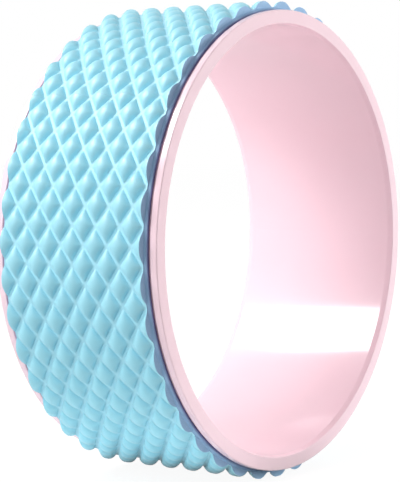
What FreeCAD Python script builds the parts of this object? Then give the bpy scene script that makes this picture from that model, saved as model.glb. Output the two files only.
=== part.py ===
import FreeCAD
import Part
import Sketcher
import math
import os

# Yoga wheel: a moulded hoop, a film of adhesive and a quilted foam pad.
# Millimetres. The wheel's axis is Y, its middle is the origin, and Z is up.

# Driving sizes, each written once: millimetres, degrees or plain counts
SIZES = {
    # hoop
    "hoop_width": 130,
    "bore_diameter": 297,
    "wall_thickness": 10,
    "flare_length": 4,
    "flare_depth": 0.75,
    "flare_edge_radius": 0.6,
    "rim_width": 5.2,
    "seat_depth": 2,
    "rim_edge_radius": 0.8,
    # adhesive film
    "film_thickness": 0.3,
    "film_clearance": 0.15,
    "film_inset": 1.5,
    "film_end_gap": 1,
    # pad
    "pad_clearance": 1.8,
    "sheet_thickness": 3.5,
    "cushion_height": 4.4,
    "cushion_fullness": 0.95,
    "cushions_round": 40,
    "cushions_across": 6,
    "edge_upright": 1,
    "edge_slope_width": 1.75,
    "edge_cut_depth": 0.6,
    "seam_gap": 0.3,
    "seam_angle": 216.8,
    "rest_flat_depth": 0.5,
}

# A cushion's surface is cubic, with its control points at these places across it
CUSHION_KNOTS = [-1, -0.5, 0, 0.5, 1]
CUSHION_KNOT_COUNTS = [4, 1, 1, 1, 4]
CUSHION_PLACES = [-1, -5 / 6, -0.5, 0, 0.5, 5 / 6, 1]

# Two places closer than this are the same place
NEAR = 1e-4

# A cutting box reaches this far past the piece that it cuts
SPARE = 1

doc = FreeCAD.newDocument("yoga_wheel")
axis_start = FreeCAD.Vector(0, 0, 0)
axis_way = FreeCAD.Vector(0, 1, 0)


def make_sheet():
    """Put the driving sizes in a spreadsheet, one alias a row."""
    sheet = doc.addObject("Spreadsheet::Sheet", "Sizes")
    for row, (name, value) in enumerate(SIZES.items(), start=1):
        sheet.set(f"A{row}", name)
        sheet.set(f"B{row}", str(value))
        sheet.setAlias(f"B{row}", name)
    doc.recompute()
    return sheet


def new_body(name):
    """Add an empty body whose label names its file."""
    body = doc.addObject("PartDesign::Body", name)
    body.Label = name
    return body


def section_sketch(body, name, corners, expressions):
    """Draw a closed section of upright, level and slanting lines, radius across and the wheel's axis up.

    Each corner is a rough (radius, along) pair. Each expression fixes one corner's distance from an axis.
    """
    sketch = body.newObject("Sketcher::SketchObject", name)
    planes = [feature for feature in body.Origin.OriginFeatures if feature.Role == "XY_Plane"]
    sketch.AttachmentSupport = [(planes[0], "")]
    sketch.MapMode = "FlatFace"
    count = len(corners)
    for index in range(count):
        start = FreeCAD.Vector(*corners[index], 0)
        end = FreeCAD.Vector(*corners[(index + 1) % count], 0)
        sketch.addGeometry(Part.LineSegment(start, end), False)
    for index in range(count):
        after = (index + 1) % count
        sketch.addConstraint(Sketcher.Constraint("Coincident", index, 2, after, 1))
        if corners[index][1] == corners[after][1]:
            sketch.addConstraint(Sketcher.Constraint("Horizontal", index))
        elif corners[index][0] == corners[after][0]:
            sketch.addConstraint(Sketcher.Constraint("Vertical", index))
    for label, way, corner, expression in expressions:
        place = corners[corner][0] if way == "DistanceX" else corners[corner][1]
        number = sketch.addConstraint(Sketcher.Constraint(way, -1, 1, corner, 1, place))
        sketch.renameConstraint(number, label)
        sketch.setExpression(f"Constraints.{label}", expression)
    return sketch


def revolve(body, name, sketch, angle="360"):
    """Turn a section round the wheel's axis."""
    turned = body.newObject("PartDesign::Revolution", name)
    turned.Profile = sketch
    turned.ReferenceAxis = (sketch, ["V_Axis"])
    turned.setExpression("Angle", angle)
    sketch.Visibility = False
    body.Tip = turned
    doc.recompute()
    return turned


def circle_edges(feature, radius, along):
    """Names of the circular edges at a radius and a distance along the axis, at both ends."""
    names = []
    for number, edge in enumerate(feature.Shape.Edges, start=1):
        if not isinstance(edge.Curve, Part.Circle):
            continue
        same_radius = abs(edge.Curve.Radius - radius) < NEAR
        same_place = abs(abs(edge.Curve.Center.y) - along) < NEAR
        if same_radius and same_place:
            names.append(f"Edge{number}")
    return names


def round_edges(body, name, feature, edges, radius):
    """Round some edges of a body's last feature."""
    rounded = body.newObject("PartDesign::Fillet", name)
    rounded.Base = (feature, edges)
    rounded.setExpression("Radius", radius)
    body.Tip = rounded
    doc.recompute()
    return rounded


def make_inner_ring(sheet):
    """The hoop: a bore that flares a little at each end, a bare rim at each side and a seat for the pad."""
    body = new_body("inner_ring")
    rim_side = [(149, -65), (158, -65), (158, -60), (156, -60), (156, 60), (158, 60), (158, 65), (149, 65)]
    bore_side = [(148, 61), (148, -61)]
    bore = "Sizes.bore_diameter / 2"
    mouth = bore + " + Sizes.flare_depth"
    rim = bore + " + Sizes.wall_thickness"
    seat = rim + " - Sizes.seat_depth"
    end = "Sizes.hoop_width / 2"
    shoulder = end + " - Sizes.rim_width"
    flare = end + " - Sizes.flare_length"
    expressions = [
        ("front_mouth", "DistanceX", 0, mouth),
        ("front_end", "DistanceY", 0, "-(" + end + ")"),
        ("front_rim", "DistanceX", 1, rim),
        ("front_shoulder", "DistanceY", 2, "-(" + shoulder + ")"),
        ("seat", "DistanceX", 3, seat),
        ("rear_shoulder", "DistanceY", 4, shoulder),
        ("rear_rim", "DistanceX", 5, rim),
        ("rear_end", "DistanceY", 6, end),
        ("rear_mouth", "DistanceX", 7, mouth),
        ("bore", "DistanceX", 8, bore),
        ("rear_flare", "DistanceY", 8, flare),
        ("front_flare", "DistanceY", 9, "-(" + flare + ")"),
    ]
    sketch = section_sketch(body, "ring_section", rim_side + bore_side, expressions)
    hoop = revolve(body, "ring_turned", sketch)
    half_width = sheet.hoop_width / 2
    mouth_edges = circle_edges(hoop, sheet.bore_diameter / 2 + sheet.flare_depth, half_width)
    hoop = round_edges(body, "ring_mouth_rounds", hoop, mouth_edges, "Sizes.flare_edge_radius")
    rim_radius = sheet.bore_diameter / 2 + sheet.wall_thickness
    rim_edges = circle_edges(hoop, rim_radius, half_width)
    rim_edges += circle_edges(hoop, rim_radius, half_width - sheet.rim_width)
    round_edges(body, "ring_rim_rounds", hoop, rim_edges, "Sizes.rim_edge_radius")
    return body


def make_adhesive_film(sheet):
    """The film that holds the pad: one turn round the seat, with a small gap where its ends meet."""
    body = new_body("adhesive_film")
    corners = [(156, -57), (157, -57), (157, 57), (156, 57)]
    inner = "Sizes.bore_diameter / 2 + Sizes.wall_thickness - Sizes.seat_depth + Sizes.film_clearance"
    half = "Sizes.hoop_width / 2 - Sizes.rim_width - Sizes.pad_clearance - Sizes.film_inset"
    expressions = [
        ("inner", "DistanceX", 0, inner),
        ("front", "DistanceY", 0, "-(" + half + ")"),
        ("outer", "DistanceX", 1, inner + " + Sizes.film_thickness"),
        ("rear", "DistanceY", 2, half),
    ]
    sketch = section_sketch(body, "film_section", corners, expressions)
    gap_angle = "Sizes.film_end_gap / (" + inner + ") * 180 / pi"
    revolve(body, "film_turned", sketch, "360 - " + gap_angle)
    body.Placement = FreeCAD.Placement(axis_start, FreeCAD.Rotation(axis_way, sheet.seam_angle))
    return body


def wheel_point(radius, turn, across):
    """Point at a radius from the axis, an angle round it and a place along it."""
    return FreeCAD.Vector(radius * math.cos(turn), across, -radius * math.sin(turn))


def cushion_face(groove_radius, height, fullness, half_turn, half_pitch, turn, across):
    """One diamond cushion, from the middle of a groove to the middle of the next in both slanting ways.

    The middle control point stands higher than the rest, by as much as lets the surface reach its full height.
    """
    heights = [0, 0, fullness, (9 - 5 * fullness) / 4, fullness, 0, 0]
    rows = []
    for place_a, height_a in zip(CUSHION_PLACES, heights):
        row = []
        for place_b, height_b in zip(CUSHION_PLACES, heights):
            point_turn = turn + half_turn * (place_a - place_b) / 2
            point_across = across + half_pitch * (place_a + place_b) / 2
            radius = groove_radius + height * min(height_a, height_b)
            row.append(wheel_point(radius, point_turn, point_across))
        rows.append(row)
    surface = Part.BSplineSurface()
    surface.buildFromPolesMultsKnots(
        rows, CUSHION_KNOT_COUNTS, CUSHION_KNOT_COUNTS, CUSHION_KNOTS, CUSHION_KNOTS, False, False, 3, 3
    )
    return surface.toShape()


def make_massage_pad(sheet):
    """The foam pad: a strip with diamond cushions in rows, wrapped round the seat to a butt seam."""
    seat = sheet.bore_diameter / 2 + sheet.wall_thickness - sheet.seat_depth
    under = seat + sheet.film_thickness + 2 * sheet.film_clearance
    groove = under + sheet.sheet_thickness
    knee = groove - sheet.edge_cut_depth
    upright = under + sheet.edge_upright
    peak = groove + sheet.cushion_height
    base_half = sheet.hoop_width / 2 - sheet.rim_width - sheet.pad_clearance
    top_half = base_half - sheet.edge_slope_width
    rounds = int(round(sheet.cushions_round))
    columns = int(round(sheet.cushions_across))
    half_turn = math.pi / rounds
    half_pitch = top_half / columns
    shape_sizes = (groove, sheet.cushion_height, sheet.cushion_fullness, half_turn, half_pitch)

    # Rows of whole cushions stand between rows that are shifted by half a cushion
    faces = []
    for row in range(2 * rounds):
        shifted = row % 2 == 0
        turn = row * half_turn
        start = -columns + 2 if shifted else -columns + 1
        for step in range(start, columns, 2):
            faces.append(cushion_face(*shape_sizes, turn, step * half_pitch))

    # The shifted rows end in half cushions, cut square at the pad's edges
    reach = 2 * peak
    for side in (-1, 1):
        corner = FreeCAD.Vector(-reach, min(0, side * top_half), -reach)
        inside = Part.makeBox(2 * reach, top_half, 2 * reach, corner)
        outline = []
        for row in range(rounds):
            half = cushion_face(*shape_sizes, 2 * row * half_turn, side * top_half).common(inside)
            faces.extend(half.Faces)
            for edge in half.Edges:
                on_edge = [abs(vertex.Y - side * top_half) < NEAR for vertex in edge.Vertexes]
                middle = edge.valueAt((edge.FirstParameter + edge.LastParameter) / 2)
                if all(on_edge) and abs(middle.y - side * top_half) < NEAR:
                    outline.append(edge)
        scallops = Part.Wire(Part.__sortEdges__(outline))
        foot = Part.Wire(Part.makeCircle(knee, FreeCAD.Vector(0, side * top_half, 0), axis_way))
        faces.append(Part.makeFace([scallops, foot], "Part::FaceMakerBullseye"))

    # Under the cushions, the edges slope out to the seat's width
    section = [
        (knee, -top_half),
        (upright, -base_half),
        (under, -base_half),
        (under, base_half),
        (upright, base_half),
        (knee, top_half),
    ]
    path = Part.makePolygon([FreeCAD.Vector(radius, along, 0) for radius, along in section])
    faces.extend(path.revolve(axis_start, axis_way, 360).Faces)

    whole = Part.makeSolid(Part.makeShell(faces))
    cut_half = base_half + SPARE
    slot_start = FreeCAD.Vector(under / 2, -cut_half, -sheet.seam_gap / 2)
    slot = Part.makeBox(peak, 2 * cut_half, sheet.seam_gap, slot_start)

    # The wheel's weight presses the foam flat where it stands on the floor
    turned = FreeCAD.Placement(axis_start, FreeCAD.Rotation(axis_way, sheet.seam_angle))
    floor_start = FreeCAD.Vector(-reach / 2, -cut_half, -reach)
    floor_rise = reach - peak + sheet.rest_flat_depth
    floor = Part.makeBox(reach, 2 * cut_half, floor_rise, floor_start)
    floor.Placement = turned.inverse()
    strip = whole.cut([slot, floor])

    pad = doc.addObject("Part::Feature", "massage_pad")
    pad.Label = "massage_pad"
    pad.Shape = strip.Solids[0] if len(strip.Solids) == 1 else strip
    pad.Placement = turned
    return pad


def check_and_write(pieces):
    """Stop on any object in error or any bad shape, then write one file for each piece."""
    doc.recompute()
    for thing in doc.Objects:
        bad = [word for word in thing.State if word in ("Invalid", "Error")]
        if bad:
            raise RuntimeError(f"{thing.Label} is {bad}")
    os.makedirs("parts", exist_ok=True)
    for piece in pieces:
        shape = piece.Shape
        if shape.isNull() or not shape.isValid() or len(shape.Solids) != 1:
            raise RuntimeError(f"{piece.Label} is not one sound solid")
        shape.exportStep(f"parts/{piece.Label}.step")


sizes = make_sheet()
check_and_write([make_inner_ring(sizes), make_adhesive_film(sizes), make_massage_pad(sizes)])
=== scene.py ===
import math

import bmesh
import bpy
import numpy as np
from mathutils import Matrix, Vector


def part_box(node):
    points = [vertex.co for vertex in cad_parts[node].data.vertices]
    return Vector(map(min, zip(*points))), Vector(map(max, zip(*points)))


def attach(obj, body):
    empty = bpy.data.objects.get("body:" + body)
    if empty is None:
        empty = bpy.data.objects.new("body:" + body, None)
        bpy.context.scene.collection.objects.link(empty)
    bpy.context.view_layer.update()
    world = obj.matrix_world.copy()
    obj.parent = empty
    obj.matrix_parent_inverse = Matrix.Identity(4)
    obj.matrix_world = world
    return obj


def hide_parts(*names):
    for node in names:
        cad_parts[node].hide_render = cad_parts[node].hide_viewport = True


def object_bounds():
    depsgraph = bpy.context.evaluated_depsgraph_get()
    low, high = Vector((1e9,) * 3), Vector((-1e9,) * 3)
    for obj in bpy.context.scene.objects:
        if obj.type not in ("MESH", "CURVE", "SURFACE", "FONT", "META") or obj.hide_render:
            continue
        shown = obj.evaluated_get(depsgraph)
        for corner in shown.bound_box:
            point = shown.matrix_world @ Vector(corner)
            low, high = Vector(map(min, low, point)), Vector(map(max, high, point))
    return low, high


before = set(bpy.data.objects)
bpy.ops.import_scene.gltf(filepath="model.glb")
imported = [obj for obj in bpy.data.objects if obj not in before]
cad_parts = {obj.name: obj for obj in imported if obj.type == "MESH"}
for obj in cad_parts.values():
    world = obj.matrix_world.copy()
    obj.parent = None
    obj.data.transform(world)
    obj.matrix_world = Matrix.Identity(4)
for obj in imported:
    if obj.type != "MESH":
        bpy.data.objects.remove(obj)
cad_low, cad_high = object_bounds()

# Sizes in metres and degrees, and how dark the painted shade is at the top of the pad's upright edge.
# What the frame can give is read from it.
PAD_EDGE_SLOPE_WIDTH = 0.00175
PAD_EDGE_UPRIGHT = 0.002
PAD_EDGE_CUT_DEPTH = 0.0006
PAD_EDGE_PAINTED_SHADE = 0.3
CUSHION_HEIGHT = 0.0044
CUSHIONS_ROUND = 40
CUSHIONS_ACROSS = 6
SEAM_GAP = 0.0001
SEAM_ANGLE = 216.8

# A cushion's form: how far out its foot is, how flat its top is and how steep its sides are
CUSHION_FOOT = 0.87
CUSHION_FLATNESS = 2.5
CUSHION_STEEPNESS = 0.68
CUSHION_STEPS = 5

# Shared points are matched on a grid this fine, with this margin at the strip's ends and edges
GRID_STEPS = 4096
MARGIN = 1e-9

# Faces that meet at a sharper angle than this keep their edge
SHARP_ANGLE = 55.0

# The photograph's frame and the camera that it was taken with
PHOTO_WIDTH = 400
PHOTO_HEIGHT = 482
FOCAL_PIXELS = 1660.0
WHEEL_CENTRE_PIXEL = (213.24, 238.10)
CAMERA_AZIMUTH = -55.99
CAMERA_ELEVATION = 2.772
CAMERA_DISTANCE = 1.1838
SENSOR_WIDTH = 36.0

# Light levels: the surroundings in front of the wheel and behind it, and the floor
WORLD_FRONT = 0.18
WORLD_BACK = 0.92
FLOOR_BOUNCE_LEFT = 0.22
FLOOR_BOUNCE = 1.00
FLOOR_DARK_REACH = 0.13
FLOOR_SHADE = 0.12
FLOOR_GLOW = 0.93
FLOOR_HALF_SIZE = 30.0

# The floor's dark patch: how its oval is squeezed along each axis and where its soft edge begins
FLOOR_DARK_SQUEEZE = (1.5, 0.9, 1.0)
FLOOR_DARK_CORE = 0.6

# Where along X the floor's bounce starts to rise from its level at the left, and where it is full
FLOOR_RISE_START = -0.28
FLOOR_RISE_END = -0.14

# Each lamp's direction from the wheel, distance, width, height and power. Glosses show only the card.
LAMPS = {
    "gloss_card": ((-0.51, 0.485, 0.71), 1.5, 0.75, 0.50, 36.0),
    "back_softbox": ((-0.53, 0.44, 0.72), 1.5, 0.75, 0.50, 10.5),
    "left_softbox": ((-0.96, 0.25, 0.0), 2.0, 0.9, 0.3, 13.5),
    "right_fill": ((0.75, -0.64, 0.16), 5.0, 2.0, 2.0, 178.0),
}


def srgb(red, green, blue):
    """Linear colour, with alpha, from 0 to 255 screen values."""
    def linear(value):
        value /= 255
        return value / 12.92 if value <= 0.04045 else ((value + 0.055) / 1.055) ** 2.4
    return linear(red), linear(green), linear(blue), 1.0


def node_radii(name):
    """Least and greatest distance of a CAD node's points from the wheel's axis."""
    points = [vertex.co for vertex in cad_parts[name].data.vertices]
    radii = [math.hypot(point.x, point.z) for point in points]
    return min(radii), max(radii)


def wheel_point(radius, turn, across):
    """Point at a radius from the axis, an angle round it from the seam and a place along it."""
    angle = math.radians(SEAM_ANGLE) + turn
    return radius * math.cos(angle), across, -radius * math.sin(angle)


# Materials

def new_material(name):
    """A material with its node tree, its main shader and a texture coordinate in metres."""
    material = bpy.data.materials.new(name)
    material.use_nodes = True
    tree = material.node_tree
    shader = tree.nodes["Principled BSDF"]
    place = tree.nodes.new("ShaderNodeTexCoord")
    return material, tree, shader, place.outputs["Object"]


def noise(tree, place, scale, detail=2.0, roughness=0.5):
    """Noise with that many features in a metre."""
    node = tree.nodes.new("ShaderNodeTexNoise")
    node.inputs["Scale"].default_value = scale
    node.inputs["Detail"].default_value = detail
    node.inputs["Roughness"].default_value = roughness
    tree.links.new(place, node.inputs["Vector"])
    return node.outputs["Fac"]


def mixed_colour(tree, amount, low, high):
    """Colour between two, by an amount from 0 to 1. The low one may come from another node."""
    node = tree.nodes.new("ShaderNodeMix")
    node.data_type = "RGBA"
    tree.links.new(amount, node.inputs[0])
    if isinstance(low, bpy.types.NodeSocket):
        tree.links.new(low, node.inputs[6])
    else:
        node.inputs[6].default_value = low
    node.inputs[7].default_value = high
    return node.outputs[2]


def ranged(tree, value, from_low, from_high, low, high):
    """A value's range stretched to another range."""
    node = tree.nodes.new("ShaderNodeMapRange")
    tree.links.new(value, node.inputs["Value"])
    node.inputs["From Min"].default_value = from_low
    node.inputs["From Max"].default_value = from_high
    node.inputs["To Min"].default_value = low
    node.inputs["To Max"].default_value = high
    return node.outputs["Result"]


def bumped(tree, height, strength, distance, before=None):
    """Normal bent by a height, on top of another bump if there is one."""
    node = tree.nodes.new("ShaderNodeBump")
    node.inputs["Strength"].default_value = strength
    node.inputs["Distance"].default_value = distance
    tree.links.new(height, node.inputs["Height"])
    if before is not None:
        tree.links.new(before, node.inputs["Normal"])
    return node.outputs["Normal"]


def hoop_plastic():
    """Pale pink moulded plastic, polished, with a trace of orange peel and faint handling marks."""
    material, tree, shader, place = new_material("hoop_plastic")
    tint = ranged(tree, noise(tree, place, 9.0), 0.3, 0.7, 0.0, 1.0)
    colour = mixed_colour(tree, tint, srgb(253, 221, 230), srgb(254, 225, 234))
    tree.links.new(colour, shader.inputs["Base Color"])
    marks = noise(tree, place, 55.0, 5.0, 0.65)
    tree.links.new(ranged(tree, marks, 0.35, 0.75, 0.30, 0.40), shader.inputs["Roughness"])
    peel = bumped(tree, noise(tree, place, 420.0, 1.0), 0.05, 0.0004)
    tree.links.new(peel, shader.inputs["Normal"])
    shader.inputs["Specular IOR Level"].default_value = 0.1
    shader.inputs["Coat Weight"].default_value = 0.65
    shader.inputs["Coat Roughness"].default_value = 0.12
    return material


def foam_skin():
    """Light blue closed-cell foam's moulded skin: satin crests, duller grooves with a paler painted
    light, and a fine pebble.
    """
    material, tree, shader, place = new_material("foam_skin")
    crest = tree.nodes.new("ShaderNodeAttribute")
    crest.attribute_name = "crest"
    cloud = ranged(tree, noise(tree, place, 30.0, 3.0), 0.3, 0.7, 0.0, 1.0)
    colour = mixed_colour(tree, cloud, srgb(158, 223, 240), srgb(164, 227, 243))
    # Painted light: the grooves get a paler, whiter colour, standing in for the light they catch.
    groove = ranged(tree, crest.outputs["Fac"], 0.0, 0.3, 1.0, 0.0)
    painted_groove_light = mixed_colour(tree, groove, colour, srgb(168, 225, 241))
    tree.links.new(painted_groove_light, shader.inputs["Base Color"])
    rough = ranged(tree, crest.outputs["Fac"], 0.0, 1.0, 0.58, 0.48)
    tree.links.new(rough, shader.inputs["Roughness"])
    pebble = bumped(tree, noise(tree, place, 1500.0, 2.0, 0.6), 0.18, 0.0003)
    soft = bumped(tree, noise(tree, place, 240.0, 1.0), 0.10, 0.0008, pebble)
    tree.links.new(soft, shader.inputs["Normal"])
    shader.inputs["Specular IOR Level"].default_value = 0.5
    shader.inputs["Sheen Weight"].default_value = 0.15
    shader.inputs["Sheen Roughness"].default_value = 0.5
    return material


def foam_cut():
    """The same foam where it is cut: open cells, duller, a tone partly painted shade and pink
    reflection, and painted shade at its foot.
    """
    material, tree, shader, place = new_material("foam_cut")
    foot_shade = tree.nodes.new("ShaderNodeAttribute")
    foot_shade.attribute_name = "foot_shade"
    cloud = noise(tree, place, 600.0, 3.0)
    # Darker, more lavender than the skin: partly the cut cells' own duller tone, partly painted shade
    # and painted pink reflection.
    colour = mixed_colour(tree, cloud, srgb(158, 198, 232), srgb(170, 208, 240))
    # Painted shade: the cut edge turns dark violet towards its foot beside the rim, where the crevice
    # lies in shadow.
    painted_foot_shade = mixed_colour(tree, foot_shade.outputs["Fac"], colour, srgb(84, 72, 140))
    tree.links.new(painted_foot_shade, shader.inputs["Base Color"])
    cells = tree.nodes.new("ShaderNodeTexVoronoi")
    cells.inputs["Scale"].default_value = 2200.0
    tree.links.new(place, cells.inputs["Vector"])
    tree.links.new(bumped(tree, cells.outputs["Distance"], 0.4, 0.0003), shader.inputs["Normal"])
    shader.inputs["Roughness"].default_value = 0.75
    return material


def adhesive_film():
    """Milky film with a faint grain."""
    material, tree, shader, place = new_material("adhesive_film")
    cloud = noise(tree, place, 80.0, 3.0)
    colour = mixed_colour(tree, cloud, srgb(222, 222, 214), srgb(236, 236, 230))
    tree.links.new(colour, shader.inputs["Base Color"])
    tree.links.new(ranged(tree, cloud, 0.3, 0.7, 0.35, 0.5), shader.inputs["Roughness"])
    return material


# Pieces

def cushion_places():
    """Places across a cushion, from -1 to 1, closer together where its sides are steep."""
    angles = [math.pi / 2 * step / CUSHION_STEPS for step in range(CUSHION_STEPS + 1)]
    half = [CUSHION_FOOT * math.sin(angle) for angle in angles] + [1.0]
    return [-place for place in reversed(half[1:])] + half


def cushion_crest(place_a, place_b):
    """Height of a cushion, from 0 in the grooves to 1 at its middle."""
    crest = 1.0
    for place in (place_a, place_b):
        crest *= max(0.0, 1 - (abs(place) / CUSHION_FOOT) ** CUSHION_FLATNESS)
    return crest ** CUSHION_STEEPNESS


class PadMesh:
    """The pad's points and faces, gathered cushion by cushion and then closed into one strip."""

    def __init__(self):
        under, peak = node_radii("massage_pad")
        self.under = under
        self.groove = peak - CUSHION_HEIGHT
        self.knee = self.groove - PAD_EDGE_CUT_DEPTH
        self.base_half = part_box("massage_pad")[1].y
        self.top_half = self.base_half - PAD_EDGE_SLOPE_WIDTH
        self.gap_turn = SEAM_GAP / self.groove
        self.half_turn = (2 * math.pi - self.gap_turn) / (2 * CUSHIONS_ROUND)
        self.half_pitch = self.top_half / CUSHIONS_ACROSS
        self.points = []
        self.crests = []
        self.foot_shades = []
        self.faces = []
        self.face_slots = []
        self.lookup = {}

    def add_point(self, radius, turn, across, crest=0.0, foot_shade=0.0):
        """Add a point and give its number. Turn runs from the strip's first end."""
        x, y, z = wheel_point(radius, turn + self.gap_turn / 2, across)
        self.points.append((x, y, max(z, cad_low.z)))
        self.crests.append(crest)
        self.foot_shades.append(foot_shade)
        return len(self.points) - 1

    def add_face(self, numbers, slot):
        """Add a face by its points' numbers, with its material slot."""
        self.faces.append(numbers)
        self.face_slots.append(slot)

    def quilt_point(self, turn, across, crest):
        """Point of the quilted face, shared with the cushions beside it."""
        key_round = round(turn / self.half_turn * GRID_STEPS)
        key_across = round(across / self.half_pitch * GRID_STEPS)
        key = (key_round, key_across)
        if key not in self.lookup:
            radius = self.groove + CUSHION_HEIGHT * crest
            self.lookup[key] = self.add_point(radius, turn, across, crest)
        return self.lookup[key]

    def add_cushion(self, row, column):
        """One diamond, less what lies outside the strip's edges and ends."""
        places = cushion_places()
        last_row = 2 * CUSHIONS_ROUND
        numbers = {}
        for index_a, place_a in enumerate(places):
            for index_b, place_b in enumerate(places):
                steps_round = row + (place_a - place_b) / 2
                steps_across = column + (place_a + place_b) / 2
                inside_ends = -MARGIN <= steps_round <= last_row + MARGIN
                if inside_ends and abs(steps_across) <= CUSHIONS_ACROSS + MARGIN:
                    crest = cushion_crest(place_a, place_b)
                    numbers[index_a, index_b] = self.quilt_point(
                        steps_round * self.half_turn, steps_across * self.half_pitch, crest
                    )
        for index_a in range(len(places) - 1):
            for index_b in range(len(places) - 1):
                corners = [
                    (index_a, index_b),
                    (index_a + 1, index_b),
                    (index_a + 1, index_b + 1),
                    (index_a, index_b + 1),
                ]
                kept = [numbers[corner] for corner in corners if corner in numbers]
                if len(kept) > 2:
                    self.add_face(kept, 0)

    def add_quilt(self):
        """Rows of whole cushions between rows that are shifted by half a cushion."""
        for row in range(2 * CUSHIONS_ROUND + 1):
            shift = row % 2
            for column in range(-CUSHIONS_ACROSS + shift, CUSHIONS_ACROSS + 1, 2):
                self.add_cushion(row, column)

    def side_rows(self, side):
        """Rows of points down one edge, from the scalloped outline to the underside."""
        level = side * CUSHIONS_ACROSS * GRID_STEPS
        edge = sorted((key[0], number) for key, number in self.lookup.items() if key[1] == level)
        rows = [[number for _, number in edge]]
        turns = [key / GRID_STEPS * self.half_turn for key, _ in edge]
        tops = [self.groove + CUSHION_HEIGHT * self.crests[number] for number in rows[0]]
        for share in (2 / 3, 1 / 3, 0):
            heights = [self.knee + (top - self.knee) * share for top in tops]
            spots = zip(heights, turns)
            rows.append([self.add_point(height, turn, side * self.top_half) for height, turn in spots])
        # The upright's top row and the underside row carry painted shade for the shadowed crevice
        # beside the rim.
        for radius, foot_shade in ((self.under + PAD_EDGE_UPRIGHT, PAD_EDGE_PAINTED_SHADE), (self.under, 1.0)):
            across = side * self.base_half
            rows.append([self.add_point(radius, turn, across, foot_shade=foot_shade) for turn in turns])
        return rows

    def close(self):
        """Add the edges, the underside and the two ends."""
        low_rows = self.side_rows(-1)
        high_rows = self.side_rows(1)
        loop = list(reversed(low_rows)) + high_rows
        skin = len(low_rows) - 1
        for index, (first, second) in enumerate(zip(loop, loop[1:] + loop[:1])):
            if index == skin:
                continue
            for a, b, c, d in zip(first, first[1:], second[1:], second):
                self.add_face([a, b, c, d], 1)
        for end, level in ((0, 0), (-1, 2 * CUSHIONS_ROUND * GRID_STEPS)):
            top = sorted((key[1], number) for key, number in self.lookup.items() if key[0] == level)
            outline = [number for _, number in top]
            outline += [row[end] for row in high_rows[1:]]
            outline += [row[end] for row in reversed(low_rows[1:])]
            self.add_face(outline, 1)


def turn_outwards(mesh):
    """Turn all of a closed mesh's faces outwards."""
    form = bmesh.new()
    form.from_mesh(mesh)
    bmesh.ops.recalc_face_normals(form, faces=form.faces)
    form.to_mesh(mesh)
    form.free()


def make_pad():
    """The quilted foam pad, in place of the CAD pad."""
    form = PadMesh()
    form.add_quilt()
    form.close()
    mesh = bpy.data.meshes.new("quilted_pad")
    mesh.from_pydata(form.points, [], form.faces)
    turn_outwards(mesh)
    # The foot_shade attribute carries the painted shade at the foot of the pad's cut edge.
    for name, values in (("crest", form.crests), ("foot_shade", form.foot_shades)):
        attribute = mesh.attributes.new(name, "FLOAT", "POINT")
        attribute.data.foreach_set("value", np.array(values, np.float32))
    mesh.materials.append(foam_skin())
    mesh.materials.append(foam_cut())
    mesh.polygons.foreach_set("material_index", np.array(form.face_slots, np.int32))
    mesh.polygons.foreach_set("use_smooth", np.ones(len(form.faces), bool))
    mesh.set_sharp_from_angle(angle=math.radians(SHARP_ANGLE))
    mesh.validate()
    pad = bpy.data.objects.new("quilted_pad", mesh)
    bpy.context.scene.collection.objects.link(pad)
    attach(pad, "root")
    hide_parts("massage_pad")
    return pad


def dress_node(name, material):
    """Give a CAD node its finished material."""
    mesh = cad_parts[name].data
    mesh.materials.clear()
    mesh.materials.append(material)


# Stage

def make_camera():
    """The photograph's camera: its place round the wheel, and the wheel's centre at its own pixel."""
    azimuth = math.radians(CAMERA_AZIMUTH)
    elevation = math.radians(CAMERA_ELEVATION)
    level = math.cos(elevation)
    back = Vector((math.sin(azimuth) * level, -math.cos(azimuth) * level, math.sin(elevation)))
    right = (-back).cross(Vector((0, 0, 1))).normalized()
    up = right.cross(-back)
    metres_per_pixel = CAMERA_DISTANCE / FOCAL_PIXELS
    aim_right = PHOTO_WIDTH / 2 - WHEEL_CENTRE_PIXEL[0]
    aim_up = WHEEL_CENTRE_PIXEL[1] - PHOTO_HEIGHT / 2
    aim = (right * aim_right + up * aim_up) * metres_per_pixel
    camera = bpy.data.objects.new("camera", bpy.data.cameras.new("camera"))
    bpy.context.scene.collection.objects.link(camera)
    camera.location = back * CAMERA_DISTANCE
    camera.rotation_mode = "QUATERNION"
    camera.rotation_quaternion = (aim - camera.location).to_track_quat("-Z", "Y")
    camera.data.sensor_width = SENSOR_WIDTH
    camera.data.lens = FOCAL_PIXELS * SENSOR_WIDTH / max(PHOTO_WIDTH, PHOTO_HEIGHT)
    camera.data.clip_start = 0.01
    camera.data.clip_end = 50.0
    bpy.context.scene.camera = camera


def seen_directly(tree):
    """1 for what the camera sees, itself or in a gloss or through glass, and 0 for other light."""
    path = tree.nodes.new("ShaderNodeLightPath")
    total = path.outputs["Is Camera Ray"]
    for name in ("Is Glossy Ray", "Is Transmission Ray"):
        node = tree.nodes.new("ShaderNodeMath")
        node.operation = "MAXIMUM"
        tree.links.new(total, node.inputs[0])
        tree.links.new(path.outputs[name], node.inputs[1])
        total = node.outputs[0]
    return total


def make_world():
    """Plain surroundings: white to look at, and as a light brighter behind the wheel than in front."""
    world = bpy.data.worlds.new("studio")
    bpy.context.scene.world = world
    world.use_nodes = True
    tree = world.node_tree
    place = tree.nodes.new("ShaderNodeTexCoord")
    parts = tree.nodes.new("ShaderNodeSeparateXYZ")
    tree.links.new(place.outputs["Generated"], parts.inputs["Vector"])
    light = ranged(tree, parts.outputs["Y"], -1.0, 1.0, WORLD_FRONT, WORLD_BACK)
    strength = tree.nodes.new("ShaderNodeMix")
    tree.links.new(seen_directly(tree), strength.inputs["Factor"])
    tree.links.new(light, strength.inputs["A"])
    strength.inputs["B"].default_value = 1.0
    background = tree.nodes["Background"]
    background.inputs["Color"].default_value = (1.0, 1.0, 1.0, 1.0)
    tree.links.new(strength.outputs["Result"], background.inputs["Strength"])


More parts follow.
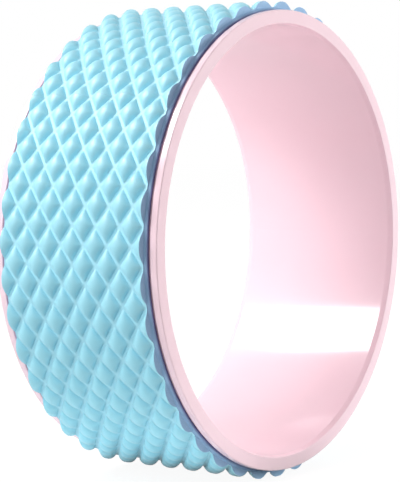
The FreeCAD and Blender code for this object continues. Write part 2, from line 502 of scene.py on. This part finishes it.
def make_lamps():
    """Soft lamps behind the wheel, at its left and at its front right, and a card only for glosses."""
    for name, (way, distance, width, height, power) in LAMPS.items():
        data = bpy.data.lights.new(name, "AREA")
        data.shape = "RECTANGLE"
        data.size, data.size_y = width, height
        data.energy = power
        lamp = bpy.data.objects.new(name, data)
        bpy.context.scene.collection.objects.link(lamp)
        direction = Vector(way).normalized()
        lamp.location = direction * distance
        lamp.rotation_mode = "QUATERNION"
        lamp.rotation_quaternion = (-direction).to_track_quat("-Z", "Y")
        lamp.visible_glossy = name == "gloss_card"
        lamp.visible_diffuse = name != "gloss_card"


def make_floor():
    """A white floor that keeps the wheel's shadow and bounces little light at the left and under it."""
    material, tree, shader, place = new_material("floor")
    seen = seen_directly(tree)
    oval = tree.nodes.new("ShaderNodeVectorMath")
    oval.operation = "MULTIPLY"
    oval.inputs[1].default_value = FLOOR_DARK_SQUEEZE
    tree.links.new(place, oval.inputs[0])
    away = tree.nodes.new("ShaderNodeVectorMath")
    away.operation = "LENGTH"
    tree.links.new(oval.outputs["Vector"], away.inputs[0])
    core = FLOOR_DARK_CORE * FLOOR_DARK_REACH
    clear = ranged(tree, away.outputs["Value"], core, FLOOR_DARK_REACH, 0.0, 1.0)
    parts = tree.nodes.new("ShaderNodeSeparateXYZ")
    tree.links.new(place, parts.inputs["Vector"])
    rise = (FLOOR_RISE_START, FLOOR_RISE_END)
    side = ranged(tree, parts.outputs["X"], *rise, FLOOR_BOUNCE_LEFT, FLOOR_BOUNCE)
    bounce = tree.nodes.new("ShaderNodeMath")
    bounce.operation = "MULTIPLY"
    tree.links.new(clear, bounce.inputs[0])
    tree.links.new(side, bounce.inputs[1])
    colour = tree.nodes.new("ShaderNodeMix")
    tree.links.new(seen, colour.inputs["Factor"])
    tree.links.new(bounce.outputs[0], colour.inputs["A"])
    colour.inputs["B"].default_value = FLOOR_SHADE
    tree.links.new(colour.outputs["Result"], shader.inputs["Base Color"])
    shader.inputs["Roughness"].default_value = 0.9
    shader.inputs["Specular IOR Level"].default_value = 0.0
    shader.inputs["Emission Color"].default_value = (1.0, 1.0, 1.0, 1.0)
    glow = ranged(tree, seen, 0.0, 1.0, 0.0, FLOOR_GLOW)
    tree.links.new(glow, shader.inputs["Emission Strength"])
    reach = FLOOR_HALF_SIZE
    mesh = bpy.data.meshes.new("floor")
    corners = [(-reach, -reach, 0), (reach, -reach, 0), (reach, reach, 0), (-reach, reach, 0)]
    mesh.from_pydata(corners, [], [(0, 1, 2, 3)])
    mesh.materials.append(material)
    floor = bpy.data.objects.new("floor", mesh)
    floor.location.z = cad_low.z
    bpy.context.scene.collection.objects.link(floor)


make_pad()
dress_node("inner_ring", hoop_plastic())
dress_node("adhesive_film", adhesive_film())
make_camera()
make_world()
make_lamps()
make_floor()
bpy.context.scene.view_settings.view_transform = "Standard"
